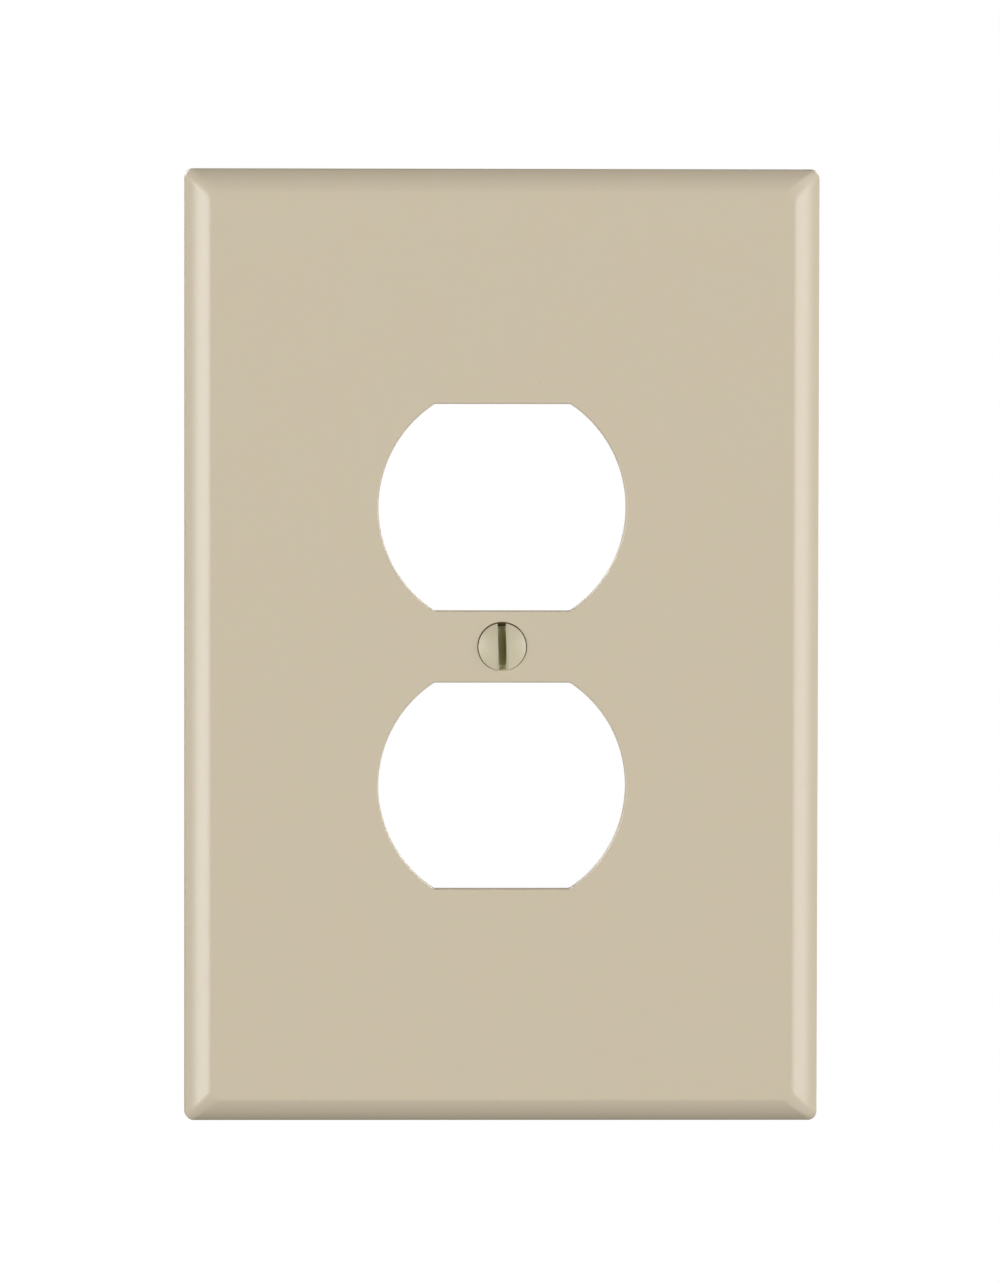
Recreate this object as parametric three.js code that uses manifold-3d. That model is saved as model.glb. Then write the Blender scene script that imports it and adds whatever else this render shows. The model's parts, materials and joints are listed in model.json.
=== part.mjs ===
// Jumbo duplex-receptacle wall plate: a moulded cover, its mounting screw and the screw's retainer.
//
// Millimetres, +Z up. The wall is the plane Y = 0 and the plate's face looks towards -Y.
// The origin is on the screw's axis, in the plane of the wall.
//
// Every piece is drawn in a frame of its own: X across the plate, Y up it, and Z out of the wall.
// The exported group turns that frame so that Z becomes -Y.

import * as THREE from 'three';
import { mergeVertices } from 'three/addons/utils/BufferGeometryUtils.js';
import Module from 'manifold-3d';

const wasm = await Module();
wasm.setup();

const INCH = 25.4;
const QUARTER_TURN = Math.PI / 2;
const degrees = THREE.MathUtils.degToRad;

// Plate outline and wall thicknesses
const PLATE_WIDTH = 3.5 * INCH;
const PLATE_HEIGHT = 5.25 * INCH;
const PLATE_DEPTH = 0.25 * INCH;
const FACE_THICKNESS = 2.1;
const RIM_THICKNESS = 2.0;
const RIM_CORNER_RADIUS = 1.2;
const FACE_CORNER_RADIUS = 1.5;
const RIM_CORNER_STEPS = 6;

// Edge of the plate, from the wall forward: a drafted side wall, a small round, then a convex bevel,
// which is a little narrower at the top and bottom than at the sides
const SIDE_WALL_HEIGHT = 3.5;
const SIDE_DRAFT = degrees(3);
const EDGE_ROUND_WIDTH = 0.06;
const EDGE_ROUND_HEIGHT = 0.16;
const BEVEL_WIDTH = 3.7;
const END_BEVEL_WIDTH = 3.1;
const BEVEL_START_ANGLE = degrees(55);
const BEVEL_END_ANGLE = degrees(22);
const BEVEL_STEPS = 8;

// Hollow behind the face
const CAVITY_DEPTH = PLATE_DEPTH - FACE_THICKNESS;
const CAVITY_DRAFT = 0.2;
const CAVITY_FILLET = 0.6;
const CAVITY_CORNER_RADIUS = 1.0;

// Receptacle openings: a circle with a flat at the top and at the bottom
const OPENING_SPACING = 1.531 * INCH;
const OPENING_RADIUS = 17.27;
const OPENING_HALF_FLATS = 14.45;
const OPENING_CORNER_RADIUS = 0.9;
const OPENING_EDGE_ROUND = 0.3;
const OPENING_ARC_STEPS = 20;
const OPENING_CORNER_STEPS = 4;
const COLLAR_WIDTH = 1.5;
const COLLAR_HEIGHT = 1.0;

// Stiffening ribs and ejector-pin marks on the back of the face
const RIB_THICKNESS = 1.2;
const RIB_HEIGHT = 1.4;
const RIB_COLUMN_X = 25;
const RIB_ROW_Y = 47;
const EJECTOR_RADIUS = 2.5;
const EJECTOR_DEPTH = 0.15;
const EJECTOR_X = 34;
const EJECTOR_ROWS = [-56, 0, 56];

// Screw boss, clearance hole and countersink
const BOSS_RADIUS = 4.75;
const BOSS_HEIGHT = 1.65;
const CLEARANCE_RADIUS = 1.95;
const COUNTERSINK_ANGLE = degrees(82);
const COUNTERSINK_RADIUS = 3.53;

// 6-32 oval-head machine screw, half an inch long
const THREAD_PITCH = INCH / 32;
const THREAD_MAJOR_RADIUS = 0.138 * INCH / 2;
const THREAD_MINOR_RADIUS = 1.34;
const THREAD_CREST_WIDTH = THREAD_PITCH / 8;
const THREAD_ROOT_WIDTH = THREAD_PITCH * 0.9;
const THREAD_STEPS_PER_TURN = 16;
const THREAD_RUN_OUT_TURNS = 0.5;
const THREAD_RUN_OUT_RADIUS = 1.42;
const THREAD_ROOT_RADIUS = 1.2; // the ridge is rooted inside the core
const SCREW_LENGTH = 0.5 * INCH;
const SCREW_NECK_RADIUS = 1.5;
const SCREW_NECK_LENGTH = 0.5;
const SCREW_SHOULDER = 0.1;
const SCREW_TIP_CHAMFER = 0.45;
const HEAD_RADIUS = 0.262 * INCH / 2;
const HEAD_RIM_HEIGHT = 0.1;
const HEAD_RIM_PROUD = 0.07;
const HEAD_DOME_HEIGHT = 0.93;
const HEAD_DOME_STEPS = 6;
const SLOT_WIDTH = 1.13;
const SLOT_DEPTH = 1.5;
const SLOT_TILT = degrees(1.4);

// Retaining washer, close behind the boss, with slits that make its bore springy
const RETAINER_RADIUS = 4.0;
const RETAINER_BORE_RADIUS = 1.87;
const RETAINER_THICKNESS = 0.8;
const RETAINER_GAP = 0.1;
const RETAINER_SLITS = 4;
const RETAINER_SLIT_WIDTH = 0.4;
const RETAINER_SLIT_END_RADIUS = 2.9;

const ROUND_STEPS = 40; // sides of a full circle on the small round pieces
const PAST = 1; // how far a cutting solid runs past the face that it cuts

// ---- Shared geometry ---------------------------------------------------------------------------

// A closed skin over rings of points that lie one after another, anticlockwise as seen from the
// last ring. Each end is closed with a fan, so the first and last rings are convex.
function skin(rings) {
  const sides = rings[0].length;
  const positions = rings.flat().flatMap((point) => point.toArray());
  const indices = [];
  for (let ring = 0; ring < rings.length - 1; ring++) {
    for (let side = 0; side < sides; side++) {
      const here = ring * sides + side;
      const next = ring * sides + ((side + 1) % sides);
      indices.push(here, next, next + sides);
      indices.push(here, next + sides, here + sides);
    }
  }
  const last = (rings.length - 1) * sides;
  for (let side = 1; side < sides - 1; side++) {
    indices.push(0, side + 1, side);
    indices.push(last, last + side, last + side + 1);
  }
  const geometry = new THREE.BufferGeometry();
  geometry.setAttribute('position', new THREE.Float32BufferAttribute(positions, 3));
  geometry.setIndex(indices);
  return geometry;
}

// The points of a circular arc, ends included.
function arc(x, y, radius, from, to, steps) {
  return new THREE.EllipseCurve(x, y, radius, radius, from, to).getPoints(steps);
}

// A flat outline lifted to a height above the wall, as one ring of a skin.
function ringAt(outline, height) {
  return outline.map((point) => new THREE.Vector3(point.x, point.y, height));
}

function toSolid(geometry) {
  const bare = geometry.clone();
  bare.deleteAttribute('normal');
  bare.deleteAttribute('uv');
  const merged = mergeVertices(bare, 1e-4);
  return new wasm.Manifold(new wasm.Mesh({
    numProp: 3,
    vertProperties: merged.attributes.position.array,
    triVerts: new Uint32Array(merged.index.array),
  }));
}

function toMesh(name, solid, material) {
  const made = solid.getMesh();
  const geometry = new THREE.BufferGeometry();
  geometry.setAttribute('position', new THREE.BufferAttribute(made.vertProperties, 3));
  geometry.setIndex(new THREE.BufferAttribute(made.triVerts, 1));
  geometry.computeVertexNormals();
  const mesh = new THREE.Mesh(geometry, material);
  mesh.name = name;
  return mesh;
}

function box(width, height, depth, x, y, bottom) {
  const geometry = new THREE.BoxGeometry(width, height, depth);
  geometry.translate(x, y, bottom + depth / 2);
  return toSolid(geometry);
}

// A round bar along Z.
function bar(radius, bottom, top, x = 0, y = 0) {
  const geometry = new THREE.CylinderGeometry(radius, radius, top - bottom, ROUND_STEPS);
  geometry.rotateX(QUARTER_TURN);
  geometry.translate(x, y, (top + bottom) / 2);
  return toSolid(geometry);
}

// A turned solid about Z. The profile gives [radius, height] pairs that rise from the axis back to it.
function turned(profile) {
  const points = profile.map(([radius, height]) => new THREE.Vector2(radius, height));
  const geometry = new THREE.LatheGeometry(points, ROUND_STEPS);
  geometry.rotateX(QUARTER_TURN);
  return toSolid(geometry);
}

// ---- Wall plate --------------------------------------------------------------------------------

function roundedRectangle(width, height, radius) {
  const right = width / 2 - radius;
  const top = height / 2 - radius;
  const centres = [[right, top], [-right, top], [-right, -top], [right, -top]];
  return centres.flatMap(([x, y], corner) => (
    arc(x, y, radius, corner * QUARTER_TURN, (corner + 1) * QUARTER_TURN, RIM_CORNER_STEPS)
  ));
}

// The plate's edge in section at its sides, as [inset from the rim, height above the wall] pairs.
function edgeProfile() {
  const wallInset = SIDE_WALL_HEIGHT * Math.tan(SIDE_DRAFT);
  const start = new THREE.Vector2(wallInset + EDGE_ROUND_WIDTH, SIDE_WALL_HEIGHT + EDGE_ROUND_HEIGHT);
  const end = new THREE.Vector2(BEVEL_WIDTH, PLATE_DEPTH);
  const rise = end.y - start.y;
  const run = end.x - start.x;
  const startSlope = Math.tan(BEVEL_START_ANGLE);
  const endSlope = Math.tan(BEVEL_END_ANGLE);
  const bendRun = (rise - endSlope * run) / (startSlope - endSlope);
  const bend = new THREE.Vector2(start.x + bendRun, start.y + bendRun * startSlope);
  const bevel = new THREE.QuadraticBezierCurve(start, bend, end).getPoints(BEVEL_STEPS);
  return [[0, 0], [wallInset, SIDE_WALL_HEIGHT], ...bevel.map((point) => [point.x, point.y])];
}

function plateBody() {
  const rings = edgeProfile().map(([inset, height]) => {
    const share = inset / BEVEL_WIDTH;
    const radius = THREE.MathUtils.lerp(RIM_CORNER_RADIUS, FACE_CORNER_RADIUS, share);
    const outline = roundedRectangle(
      PLATE_WIDTH - 2 * inset, PLATE_HEIGHT - 2 * share * END_BEVEL_WIDTH, radius,
    );
    return ringAt(outline, height);
  });
  return toSolid(skin(rings));
}

function plateCavity() {
  const section = [
    [RIM_THICKNESS, -PAST],
    [RIM_THICKNESS, 0],
    [RIM_THICKNESS + CAVITY_DRAFT, CAVITY_DEPTH - CAVITY_FILLET],
    [RIM_THICKNESS + CAVITY_DRAFT + CAVITY_FILLET, CAVITY_DEPTH],
  ];
  const rings = section.map(([inset, height]) => ringAt(
    roundedRectangle(PLATE_WIDTH - 2 * inset, PLATE_HEIGHT - 2 * inset, CAVITY_CORNER_RADIUS),
    height,
  ));
  return toSolid(skin(rings));
}

// The outline of a receptacle opening, grown outwards all round by grow. The round where a flat
// meets the arc is tangent to both, so its centre lies its own radius inside each.
function openingOutline(grow) {
  const radius = OPENING_RADIUS + grow;
  const corner = OPENING_CORNER_RADIUS + grow;
  const cornerY = OPENING_HALF_FLATS - OPENING_CORNER_RADIUS;
  const cornerX = Math.sqrt((radius - corner) ** 2 - cornerY ** 2);
  const tangent = Math.atan2(cornerY, cornerX);
  return [0, Math.PI].flatMap((side) => {
    const sign = Math.cos(side);
    const below = arc(sign * cornerX, -sign * cornerY, corner,
      side - QUARTER_TURN, side - tangent, OPENING_CORNER_STEPS);
    const beside = arc(0, 0, radius, side - tangent, side + tangent, OPENING_ARC_STEPS);
    const above = arc(sign * cornerX, sign * cornerY, corner,
      side + tangent, side + QUARTER_TURN, OPENING_CORNER_STEPS);
    return [...below, ...beside.slice(1, -1), ...above];
  });
}

function openingPlug(centreY) {
  const round = OPENING_EDGE_ROUND;
  const section = [
    [0, -PAST],
    [0, PLATE_DEPTH - round],
    [round * (1 - Math.SQRT1_2), PLATE_DEPTH - round * (1 - Math.SQRT1_2)],
    [round, PLATE_DEPTH],
    [round, PLATE_DEPTH + PAST],
  ];
  const rings = section.map(([grow, height]) => ringAt(openingOutline(grow), height));
  return toSolid(skin(rings)).translate(0, centreY, 0);
}

function openingCollar(centreY) {
  const outline = openingOutline(COLLAR_WIDTH);
  const bottom = ringAt(outline, CAVITY_DEPTH - COLLAR_HEIGHT);
  const top = ringAt(outline, CAVITY_DEPTH + FACE_THICKNESS / 2);
  return toSolid(skin([bottom, top])).translate(0, centreY, 0);
}

// A rib stands on the back of the face and is rooted halfway into it.
function rib(length, x, y, upright) {
  const depth = RIB_HEIGHT + FACE_THICKNESS / 2;
  const width = upright ? RIB_THICKNESS : length;
  const height = upright ? length : RIB_THICKNESS;
  return box(width, height, depth, x, y, CAVITY_DEPTH - RIB_HEIGHT);
}

// Clearance hole and countersink, widening to the front with the screw's own cone angle.
function screwHole() {
  const slope = Math.tan(COUNTERSINK_ANGLE / 2);
  const coneDepth = (COUNTERSINK_RADIUS - CLEARANCE_RADIUS) / slope;
  return turned([
    [0, -PAST],
    [CLEARANCE_RADIUS, -PAST],
    [CLEARANCE_RADIUS, PLATE_DEPTH - coneDepth],
    [COUNTERSINK_RADIUS, PLATE_DEPTH],
    [COUNTERSINK_RADIUS, PLATE_DEPTH + PAST],
    [0, PLATE_DEPTH + PAST],
  ]);
}

function wallPlate() {
  const openingCentres = [OPENING_SPACING / 2, -OPENING_SPACING / 2];
  const innerHeight = PLATE_HEIGHT - 2 * RIM_THICKNESS;
  const innerWidth = PLATE_WIDTH - 2 * RIM_THICKNESS;
  let plate = plateBody().subtract(plateCavity());
  for (const x of [-RIB_COLUMN_X, RIB_COLUMN_X]) {
    plate = plate.add(rib(innerHeight, x, 0, true));
  }
  for (const y of [-RIB_ROW_Y, RIB_ROW_Y]) {
    plate = plate.add(rib(innerWidth, 0, y, false));
  }
  plate = plate.add(rib(2 * RIB_COLUMN_X, 0, 0, false));
  for (const y of openingCentres) {
    plate = plate.add(openingCollar(y));
  }
  plate = plate.add(bar(BOSS_RADIUS, CAVITY_DEPTH - BOSS_HEIGHT, CAVITY_DEPTH + FACE_THICKNESS / 2));
  for (const y of openingCentres) {
    plate = plate.subtract(openingPlug(y));
  }
  for (const x of [-EJECTOR_X, EJECTOR_X]) {
    for (const y of EJECTOR_ROWS) {
      plate = plate.subtract(bar(EJECTOR_RADIUS, 0, CAVITY_DEPTH + EJECTOR_DEPTH, x, y));
    }
  }
  plate = plate.subtract(screwHole());
  const material = new THREE.MeshStandardMaterial({ color: 0xc9bda7, roughness: 0.42, metalness: 0 });
  return toMesh('wall_plate', plate, material);
}

// ---- Mounting screw ----------------------------------------------------------------------------

const SCREW_TIP = PLATE_DEPTH - SCREW_LENGTH;
const HEAD_RIM_TOP = PLATE_DEPTH + HEAD_RIM_PROUD;
const HEAD_RIM_BOTTOM = HEAD_RIM_TOP - HEAD_RIM_HEIGHT;
const HEAD_CONE_BOTTOM = HEAD_RIM_BOTTOM
  - (HEAD_RADIUS - SCREW_NECK_RADIUS) / Math.tan(COUNTERSINK_ANGLE / 2);
const NECK_BOTTOM = HEAD_CONE_BOTTOM - SCREW_NECK_LENGTH;

function screwHead() {
  const domeRadius = (HEAD_RADIUS ** 2 + HEAD_DOME_HEIGHT ** 2) / (2 * HEAD_DOME_HEIGHT);
  const domeCentre = HEAD_RIM_TOP + HEAD_DOME_HEIGHT - domeRadius;
  const domeAngle = Math.asin(HEAD_RADIUS / domeRadius);
  const dome = [];
  for (let step = 0; step <= HEAD_DOME_STEPS; step++) {
    const angle = domeAngle * (1 - step / HEAD_DOME_STEPS);
    dome.push([domeRadius * Math.sin(angle), domeCentre + domeRadius * Math.cos(angle)]);
  }
  return turned([
    [0, NECK_BOTTOM - PAST],
    [THREAD_ROOT_RADIUS, NECK_BOTTOM - PAST],
    [THREAD_ROOT_RADIUS, NECK_BOTTOM],
    [SCREW_NECK_RADIUS, NECK_BOTTOM + SCREW_SHOULDER],
    [SCREW_NECK_RADIUS, HEAD_CONE_BOTTOM],
    [HEAD_RADIUS, HEAD_RIM_BOTTOM],
    ...dome,
  ]);
}

// The ridge of a right-hand thread: a trapezoid carried along a helix. It starts past the tip,
// where the chamfered blank trims it, and sinks into the core where it runs out under the head.
function threadRidge() {
  const bottom = SCREW_TIP - THREAD_PITCH;
  const turns = (NECK_BOTTOM - THREAD_PITCH / 2 - bottom) / THREAD_PITCH;
  const steps = Math.ceil(turns * THREAD_STEPS_PER_TURN);
  const rings = [];
  for (let step = 0; step <= steps; step++) {
    const turn = (step / steps) * turns;
    const angle = turn * 2 * Math.PI;
    const height = bottom + turn * THREAD_PITCH;
    const fullness = Math.min(1, (turns - turn) / THREAD_RUN_OUT_TURNS);
    const crestRadius = THREE.MathUtils.lerp(THREAD_RUN_OUT_RADIUS, THREAD_MAJOR_RADIUS, fullness);
    const corners = [
      [THREAD_ROOT_RADIUS, THREAD_ROOT_WIDTH / 2],
      [crestRadius, THREAD_CREST_WIDTH / 2],
      [crestRadius, -THREAD_CREST_WIDTH / 2],
      [THREAD_ROOT_RADIUS, -THREAD_ROOT_WIDTH / 2],
    ];
    rings.push(corners.map(([radius, along]) => new THREE.Vector3(
      radius * Math.cos(angle),
      radius * Math.sin(angle),
      height + along,
    )));
  }
  return toSolid(skin(rings));
}

// What the thread is trimmed to: the screw's length, and a chamfer at its tip.
function screwBlank() {
  const tipRadius = THREAD_MAJOR_RADIUS - SCREW_TIP_CHAMFER;
  const outside = 2 * THREAD_MAJOR_RADIUS;
  return turned([
    [0, SCREW_TIP],
    [tipRadius, SCREW_TIP],
    [outside, SCREW_TIP + outside - tipRadius],
    [outside, NECK_BOTTOM],
    [0, NECK_BOTTOM],
  ]);
}

function mountingScrew() {
  const slot = new THREE.BoxGeometry(SLOT_WIDTH, 3 * HEAD_RADIUS, SLOT_DEPTH + PAST);
  slot.rotateZ(SLOT_TILT);
  slot.translate(0, 0, HEAD_RIM_TOP + HEAD_DOME_HEIGHT + (PAST - SLOT_DEPTH) / 2);
  const screw = bar(THREAD_MINOR_RADIUS, SCREW_TIP - PAST, NECK_BOTTOM)
    .add(threadRidge())
    .intersect(screwBlank())
    .add(screwHead())
    .subtract(toSolid(slot));
  const material = new THREE.MeshStandardMaterial({ color: 0xc4bba0, roughness: 0.3, metalness: 0.4 });
  return toMesh('mounting_screw', screw, material);
}

// ---- Screw retainer ----------------------------------------------------------------------------

function screwRetainer() {
  const outline = new THREE.Shape();
  outline.absarc(0, 0, RETAINER_RADIUS, 0, Math.PI * 2);
  const bore = new THREE.Path();
  const pitchAngle = (Math.PI * 2) / RETAINER_SLITS;
  const boreHalfAngle = Math.asin(RETAINER_SLIT_WIDTH / 2 / RETAINER_BORE_RADIUS);
  const endHalfAngle = Math.asin(RETAINER_SLIT_WIDTH / 2 / RETAINER_SLIT_END_RADIUS);
  for (let slit = 0; slit < RETAINER_SLITS; slit++) {
    const middle = slit * pitchAngle;
    bore.absarc(0, 0, RETAINER_SLIT_END_RADIUS, middle - endHalfAngle, middle + endHalfAngle);
    bore.absarc(0, 0, RETAINER_BORE_RADIUS, middle + boreHalfAngle, middle + pitchAngle - boreHalfAngle);
  }
  outline.holes.push(bore);
  const geometry = new THREE.ExtrudeGeometry(outline, {
    depth: RETAINER_THICKNESS,
    bevelEnabled: false,
    curveSegments: 6,
  });
  const material = new THREE.MeshStandardMaterial({ color: 0xe6e2d6, roughness: 0.5, metalness: 0 });
  const retainer = toMesh('screw_retainer', toSolid(geometry), material);
  retainer.position.z = CAVITY_DEPTH - BOSS_HEIGHT - RETAINER_GAP - RETAINER_THICKNESS;
  return retainer;
}

// ---- Assembly ----------------------------------------------------------------------------------

const group = new THREE.Group();
group.add(wallPlate(), mountingScrew(), screwRetainer());
group.rotation.x = QUARTER_TURN;

export default group;
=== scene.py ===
"""Looks of a jumbo duplex-receptacle wall plate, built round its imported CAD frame.

Each piece is drawn in millimetres as (across, up, out): across to the right, up the plate, and
out of the wall. at() turns such a point into the frame's metres, where out of the wall is -Y.
"""
import json
import math

import bmesh
import bpy
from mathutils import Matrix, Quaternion, Vector


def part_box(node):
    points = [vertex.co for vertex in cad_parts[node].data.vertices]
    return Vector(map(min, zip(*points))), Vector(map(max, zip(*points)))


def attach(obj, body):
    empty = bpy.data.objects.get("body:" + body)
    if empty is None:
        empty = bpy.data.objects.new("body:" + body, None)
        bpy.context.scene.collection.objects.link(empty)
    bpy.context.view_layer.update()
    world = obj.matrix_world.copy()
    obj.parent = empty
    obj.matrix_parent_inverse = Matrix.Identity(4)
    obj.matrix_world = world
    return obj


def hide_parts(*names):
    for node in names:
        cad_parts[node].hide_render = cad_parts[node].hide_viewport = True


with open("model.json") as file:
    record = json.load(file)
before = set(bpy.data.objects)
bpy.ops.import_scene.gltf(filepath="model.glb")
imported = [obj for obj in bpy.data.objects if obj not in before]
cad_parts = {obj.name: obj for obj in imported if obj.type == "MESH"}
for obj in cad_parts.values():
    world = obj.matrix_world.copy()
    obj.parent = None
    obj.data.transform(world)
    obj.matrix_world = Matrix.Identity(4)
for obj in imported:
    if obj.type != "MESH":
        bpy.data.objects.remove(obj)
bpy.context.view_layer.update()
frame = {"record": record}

MM = 0.001
INCH = 25.4
FULL_TURN = 2 * math.pi
QUARTER_TURN = math.pi / 2

# ---- Sizes in millimetres ------------------------------------------------------------------------

plate_low, plate_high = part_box("wall_plate")
screw_low, screw_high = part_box("mounting_screw")
retainer_low, retainer_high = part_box("screw_retainer")
mounts = {mount["name"]: mount for mount in frame["record"]["mounts"]}

# Plate: outline, section of its edge, and the hollow behind its face
PLATE_WIDTH = (plate_high.x - plate_low.x) / MM
PLATE_HEIGHT = (plate_high.z - plate_low.z) / MM
PLATE_DEPTH = -plate_low.y / MM
FACE_THICKNESS = 2.1
HOLLOW_DEPTH = PLATE_DEPTH - FACE_THICKNESS
HOLLOW_DRAFT = 0.2
HOLLOW_FILLET = 0.6
HOLLOW_CORNER_RADIUS = 1.0
RIM_THICKNESS = 2.0
RIM_INNER_ROUND = 0.2
RIM_OUTER_ROUND = 0.25
RIM_CORNER_RADIUS = 1.2
FACE_CORNER_RADIUS = 1.5
SIDE_WALL_HEIGHT = 3.5
SIDE_DRAFT = math.radians(3)
SIDE_ROUND = 0.25
EDGE_ROUND_WIDTH = 0.06
EDGE_ROUND_HEIGHT = 0.16

# Bevel, from the side wall to the face. Its inner crease is rounded and a little further in than
# the CAD's.
BEVEL_WIDTH = 3.83
END_BEVEL_WIDTH = 3.25
BEVEL_START_ANGLE = math.radians(55)
BEVEL_END_ANGLE = math.radians(22)
CREASE_ROUND = 0.22

# Receptacle openings
OPENING_SPACING = 1.531 * INCH
OPENING_RADIUS = 17.27
OPENING_HALF_FLATS = mounts["upper_opening_flat"]["pos_m"][2] / MM - OPENING_SPACING / 2
OPENING_CORNER_RADIUS = 0.9
OPENING_FRONT_ROUND = 0.3
OPENING_REAR_ROUND = 0.2

# What stands on the hollow's floor
COLLAR_WIDTH = 1.5
COLLAR_HEIGHT = 1.0
RIB_THICKNESS = 1.2
RIB_HEIGHT = 1.4
RIB_COLUMN_ACROSS = 25
RIB_ROW_UP = 47
BOSS_RADIUS = 4.75
BOSS_HEIGHT = 1.65
STANDING_ROUND = 0.2
FOOT_FILLET = 0.25
ROOT_DEPTH = 0.5  # how far a wall is sunk into the face that it stands on
EJECTOR_RADIUS = 2.5
EJECTOR_DEPTH = 0.15
EJECTOR_ACROSS = 34
EJECTOR_ROWS = (-56, 0, 56)

# Screw hole. The screw hangs low in its countersink, so the mouth lies a little above its axis.
CLEARANCE_RADIUS = 1.95
COUNTERSINK_HALF_ANGLE = math.radians(41)
COUNTERSINK_RADIUS = 3.49
COUNTERSINK_ACROSS = -0.01
COUNTERSINK_UP = 0.07
HOLE_ROUND = 0.1

# Screw
THREAD_PITCH = INCH / 32
THREAD_MAJOR_RADIUS = 0.138 * INCH / 2
THREAD_MINOR_RADIUS = 1.34
THREAD_ROOT_RADIUS = 1.2  # the ridge and the head start inside the core, so that they overlap it
THREAD_ROOT_HALF = THREAD_PITCH * 0.45
THREAD_CREST_HALF = THREAD_PITCH / 16
THREAD_FLANK = (  # from foot to crest: share of the thread's depth, and half the ridge's width there
    (0, THREAD_ROOT_HALF),
    (0.1, THREAD_ROOT_HALF * 0.8),
    (0.9, THREAD_CREST_HALF * 1.7),
    (1, THREAD_CREST_HALF * 0.8),
)
THREAD_RUN_OUT_TURNS = 0.5
SCREW_TIP_INSET = 0.002  # keeps the tip inside the CAD's box
SCREW_TIP = -screw_high.y / MM + SCREW_TIP_INSET
SCREW_TIP_CHAMFER = 0.45
NECK_RADIUS = 1.5
NECK_LENGTH = 0.5
NECK_SHOULDER = 0.1
HEAD_RADIUS = (screw_high.x - screw_low.x) / 2 / MM
HEAD_RIM_TOP = PLATE_DEPTH + 0.07
HEAD_RIM_HEIGHT = 0.1
HEAD_RIM_ROUND = 0.03
HEAD_DOME_HEIGHT = 0.93
SLOT_WIDTH = 1.13
SLOT_DEPTH = 1.5
SLOT_TILT = math.radians(1.4)
SLOT_FLOOR_ROUND = 0.12
SLOT_LIP_ROUND = 0.26
SLOT_LIP_HALF_SPAN = math.radians(45)
SLOT_END = 2.3  # how far from the axis the slot's ends start to change colour

# Retainer
RETAINER_RADIUS = (retainer_high.x - retainer_low.x) / 2 / MM
RETAINER_BORE_RADIUS = 1.87
RETAINER_BACK = -retainer_high.y / MM
RETAINER_FRONT = -retainer_low.y / MM
RETAINER_ROUND = 0.15
RETAINER_SLIT_WIDTH = 0.4
RETAINER_SLIT_END_RADIUS = 2.9

# How finely curves are drawn
CORNER_STEPS = 12
BEVEL_STEPS = 24
ROUND_STEPS = 4
CIRCLE_STEPS = 96
OPENING_ARC_STEPS = 56
SMALL_ARC_STEPS = 8
THREAD_STEPS_PER_TURN = 48
DOME_STEPS = 20
SLOT_LIP_STEPS = 24
PAST = 1.0  # how far a cutting solid runs past the face that it cuts
SHARP_ANGLE = math.radians(32)
FLAT_FACE_WEIGHT = 50
SLIVER = 0.0003  # corners closer than this are merged

# ---- Drawing -------------------------------------------------------------------------------------


def at(across, up, out):
    """A drawn point in the frame's metres."""
    return Vector((across, -out, up)) * MM


def bend(start, corner, end, steps=ROUND_STEPS):
    """The points of a curve that leaves start towards corner and comes to end from it."""
    points = []
    for step in range(steps + 1):
        t = step / steps
        weights = ((1 - t) ** 2, 2 * t * (1 - t), t ** 2)
        points.append(tuple(
            sum(weight * value for weight, value in zip(weights, values))
            for values in zip(start, corner, end)
        ))
    return points


def arc(across, up, radius, start, end, steps):
    """The (across, up) points of a circular arc, ends included."""
    angles = [start + (end - start) * step / steps for step in range(steps + 1)]
    return [(across + radius * math.cos(a), up + radius * math.sin(a)) for a in angles]


def circle(radius, across=0, up=0):
    return arc(across, up, radius, 0, FULL_TURN, CIRCLE_STEPS)[:-1]


def rectangle(width, height, across=0, up=0):
    signs = ((1, 1), (-1, 1), (-1, -1), (1, -1))
    return [(across + x * width / 2, up + y * height / 2) for x, y in signs]


def rounded_rectangle(width, height, radius):
    points = []
    for corner, (x, y) in enumerate(rectangle(width - 2 * radius, height - 2 * radius)):
        start = corner * QUARTER_TURN
        points += arc(x, y, radius, start, start + QUARTER_TURN, CORNER_STEPS)
    return points


def ring(outline, out):
    """A flat outline at a height above the wall."""
    return [(across, up, out) for across, up in outline]


def piece_from(build, name):
    """A new object from a finished bmesh, with its faces turned outwards."""
    bmesh.ops.recalc_face_normals(build, faces=build.faces)
    mesh = bpy.data.meshes.new(name)
    build.to_mesh(mesh)
    build.free()
    piece = bpy.data.objects.new(name, mesh)
    bpy.context.scene.collection.objects.link(piece)
    return piece


def loft(name, rings, closed=False):
    """A solid skinned over rings of points. closed joins the last ring to the first."""
    build = bmesh.new()
    rows = [[build.verts.new(at(*point)) for point in points] for points in rings]
    pairs = list(zip(rows, rows[1:]))
    if closed:
        pairs.append((rows[-1], rows[0]))
    for lower, upper in pairs:
        for i in range(len(lower)):
            build.faces.new((lower[i - 1], lower[i], upper[i], upper[i - 1]))
    if not closed:
        build.faces.new(rows[0])
        build.faces.new(rows[-1])
    return piece_from(build, name)


def turned(name, profile, across=0, up=0):
    """A solid turned about the out direction, from (radius, out) pairs."""
    return loft(name, [ring(circle(radius, across, up), out) for radius, out in profile])


def settle(piece):
    """Gives a piece the mesh that its modifiers make, and drops them."""
    bpy.context.view_layer.update()
    depsgraph = bpy.context.evaluated_depsgraph_get()
    made = bpy.data.meshes.new_from_object(piece.evaluated_get(depsgraph))
    made.materials.clear()
    piece.modifiers.clear()
    piece.data = made


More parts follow.
